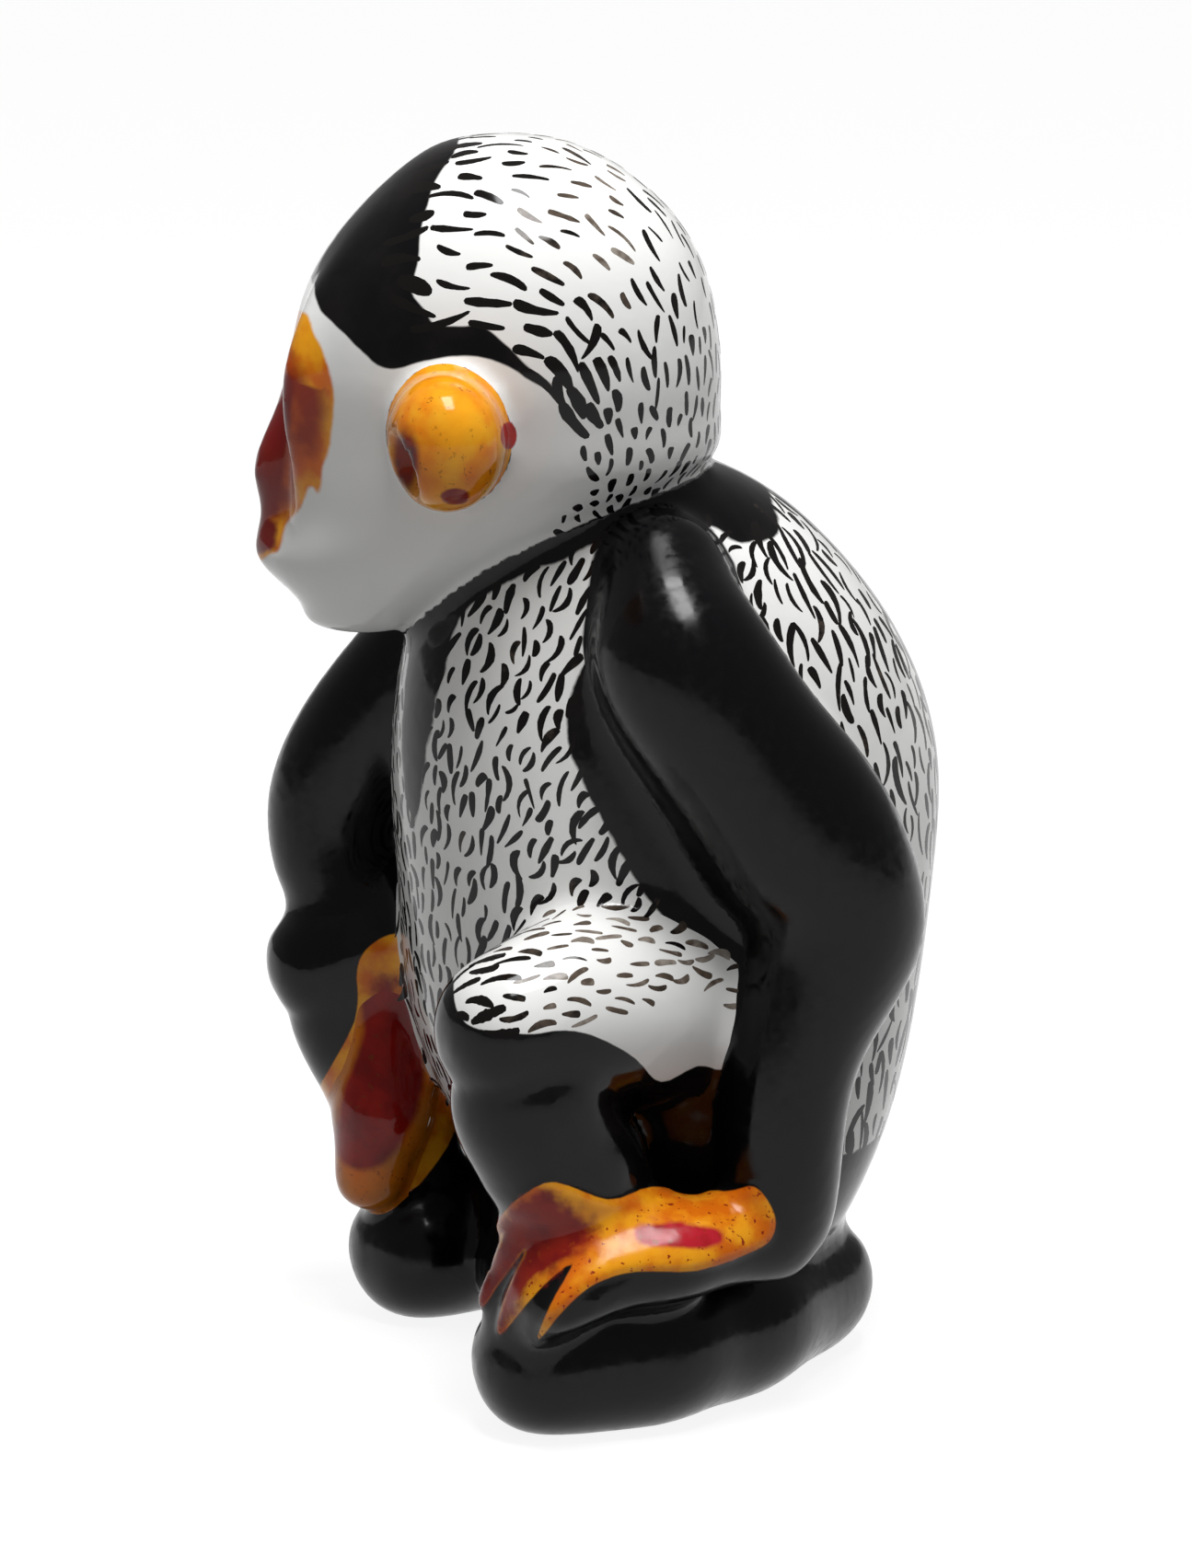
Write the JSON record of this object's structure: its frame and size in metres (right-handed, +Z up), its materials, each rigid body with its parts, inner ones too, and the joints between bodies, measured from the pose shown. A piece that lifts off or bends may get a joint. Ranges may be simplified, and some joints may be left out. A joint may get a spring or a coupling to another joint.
{
  "type": "monkey figurine",
  "caption": "Squatting monkey figurine in hand-painted glazed porcelain, with its head turned aside and one hand on its foot, to stand on a shelf or table.",
  "frame": {"origin": "on the ground, under the middle of the figure's bounding box", "axes": "+Z up; the body faces -Y; the figure's left side is +X"},
  "size_m": [0.0532, 0.0518, 0.0935],
  "materials": {
    "white_glaze": "glossy clear glaze over white body with dark brush strokes",
    "black_glaze": "glossy black underglaze colour",
    "orange_glaze": "glossy orange colour with red patches"
  },
  "bodies": {
    "root": {"torso": "white_glaze", "head": "white_glaze", "left_ear": "orange_glaze", "right_ear": "orange_glaze", "left_arm": "black_glaze", "right_arm": "black_glaze", "left_leg": "black_glaze", "right_leg": "black_glaze", "left_foot": "black_glaze", "right_foot": "black_glaze", "left_hand": "orange_glaze", "right_hand": "orange_glaze"}
  },
  "joints": []
}
